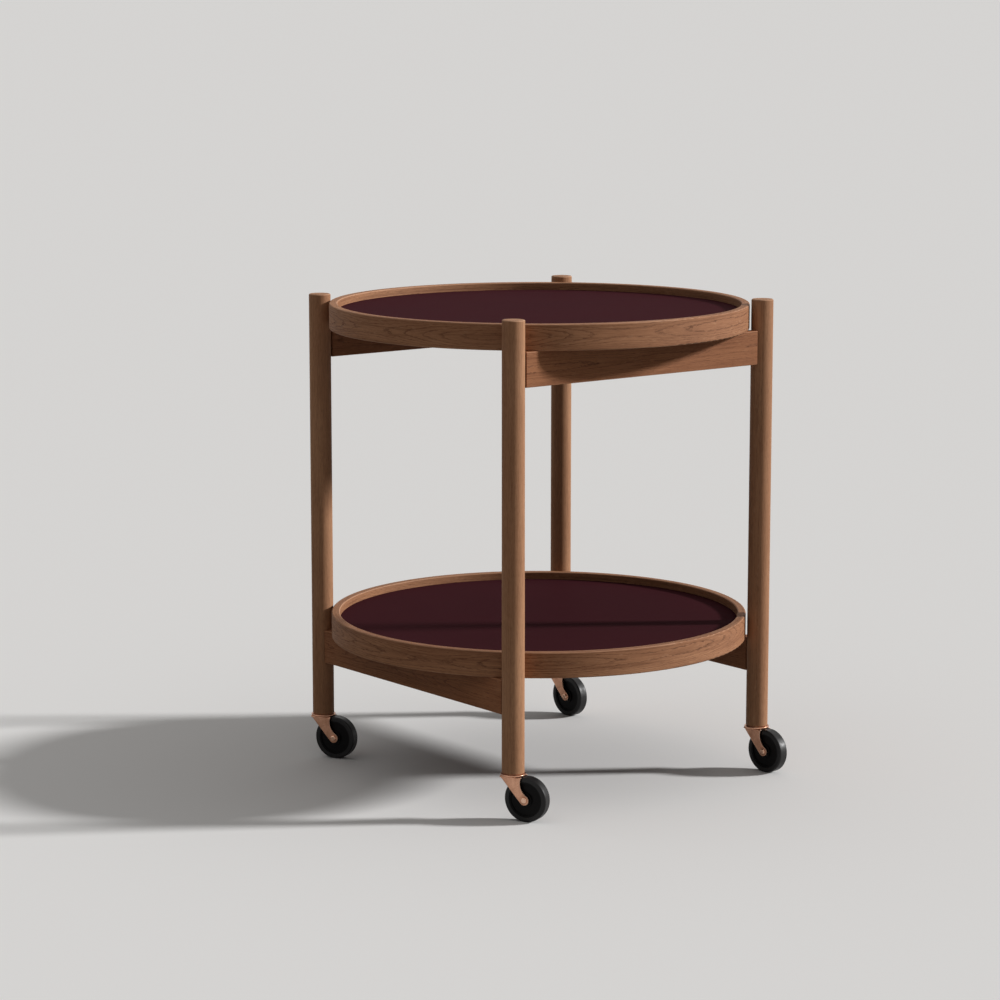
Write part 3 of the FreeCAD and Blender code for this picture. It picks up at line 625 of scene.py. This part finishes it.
def backdrop(g, x, y, height):
    """What is seen round the table: a wall that meets the floor in its own tone and darkens as it rises,
    tall panels above the height that a level view takes in, and a paler ceiling."""
    bearing = g.math("ARCTAN2", x, g.times(y, -1.0))
    wave = g.math("COSINE", g.times(g.minus(bearing, math.radians(PANEL_BEARING)), PANEL_COUNT))
    tall = g.times(g.ease(height, *PANEL_FOOT), g.ease(height, *PANEL_HEAD, 1.0, 0.0))
    panel = g.times(g.times(g.ease(wave, *PANEL_SIDES), tall), PANEL_STRENGTH)
    wall = g.ease(height, *WALL_FADE, BACKDROP_HORIZON, 0.0)
    plain = g.math("MAXIMUM", overhead(g, height, BACKDROP_WALL, BACKDROP_ZENITH), wall)
    return g.math("MAXIMUM", plain, panel)


def add_floor():
    bpy.ops.mesh.primitive_plane_add(size=FLOOR_SIZE)
    floor = bpy.context.object
    floor.name = "studio_floor"
    material, g = new_material("floor_pale")
    colour = g.mix(seen_rays(g), FLOOR_BOUNCE, FLOOR_COLOUR)
    g.surface(Base_Color=colour, Roughness=1.0, Specular_IOR_Level=0.0)
    floor.data.materials.append(material)


def add_lights():
    sun = bpy.data.lights.new("key", "SUN")
    sun.energy = KEY_STRENGTH
    sun.angle = math.radians(KEY_SOFTNESS)
    key = bpy.data.objects.new("key", sun)
    key.rotation_euler = (math.radians(90 - KEY_ELEVATION), 0.0, math.radians(KEY_AZIMUTH))
    bpy.context.scene.collection.objects.link(key)

    world = bpy.data.worlds.new("studio")
    bpy.context.scene.world = world
    world.use_nodes = True
    g = Graph(world.node_tree)
    background = g.add("ShaderNodeBackground")
    g.put(background.inputs["Color"], BACKDROP_COLOUR)
    x, y, height = g.split(g.add("ShaderNodeTexCoord").outputs["Generated"])
    fill = overhead(g, height, FILL_HORIZON, FILL_ZENITH)
    strength = g.spread(seen_rays(g), 0.0, 1.0, fill, backdrop(g, x, y, height))
    g.put(background.inputs["Strength"], strength)
    output = g.add("ShaderNodeOutputWorld")
    world.node_tree.links.new(background.outputs[0], output.inputs[0])


def add_camera():
    camera_data = bpy.data.cameras.new("camera")
    camera_data.lens = CAMERA_LENS_MM
    camera = bpy.data.objects.new("camera", camera_data)
    azimuth = math.radians(CAMERA_AZIMUTH)
    camera.location = (
        math.sin(azimuth) * CAMERA_DISTANCE,
        -math.cos(azimuth) * CAMERA_DISTANCE,
        CAMERA_HEIGHT,
    )
    camera.rotation_euler = (
        math.radians(90 - CAMERA_PITCH_DOWN),
        0.0,
        math.radians(CAMERA_AZIMUTH + CAMERA_TURN_LEFT),
    )
    bpy.context.scene.collection.objects.link(camera)
    bpy.context.scene.camera = camera


oak_group = make_oak_group()
for node_name, piece in RIM_PIECES.items():
    make_rim_oak(node_name, piece)
for node_name, piece in TOP_RAIL_PIECES.items():
    make_rail_oak(node_name, True, piece)
for node_name, piece in BOTTOM_RAIL_PIECES.items():
    make_rail_oak(node_name, False, piece)
for index, name in enumerate(LEG_NAMES):
    piece = FIRST_LEG_PIECE + LEG_PIECE_STEP * index
    make_leg_oak(f"leg_{name}", piece, FIRST_LEG_TURN + LEG_TURN_STEP * index)

laminate = make_laminate()
board = make_board()
for tray in TRAY_NAMES:
    dress(f"{tray}_tray_upper_laminate", laminate)
    dress(f"{tray}_tray_lower_laminate", laminate)
    dress(f"{tray}_tray_board", board)

brass = make_metal("satin_brass", **BRASS)
rivet_brass = make_metal("rivet_brass", **RIVET_BRASS)
steel = make_metal("bright_steel", **STEEL)
dress("top_rail_dowels", make_dowel_wood())
for node_name in ("bottom_rail_tongues", "bottom_rail_pivot_pins", "bottom_rail_tongue_pins"):
    dress(node_name, steel)
for name in LEG_NAMES:
    for kind in ("socket", "washer", "fork"):
        dress(f"caster_{kind}_{name}", brass)
    dress(f"caster_axle_{name}", rivet_brass)
    for kind in ("stem", "clip"):
        dress(f"caster_{kind}_{name}", steel)
    dress(f"wheel_bush_{name}", steel)
    make_wheel_black(f"tyre_rubber_{name}", f"wheel_tyre_{name}", f"wheel_{name}_spin", **TYRE)
    make_wheel_black(f"hub_plastic_{name}", f"wheel_core_{name}", f"wheel_{name}_spin", **HUB)

add_floor()
add_lights()
add_camera()
bpy.context.scene.view_settings.view_transform = "Standard"
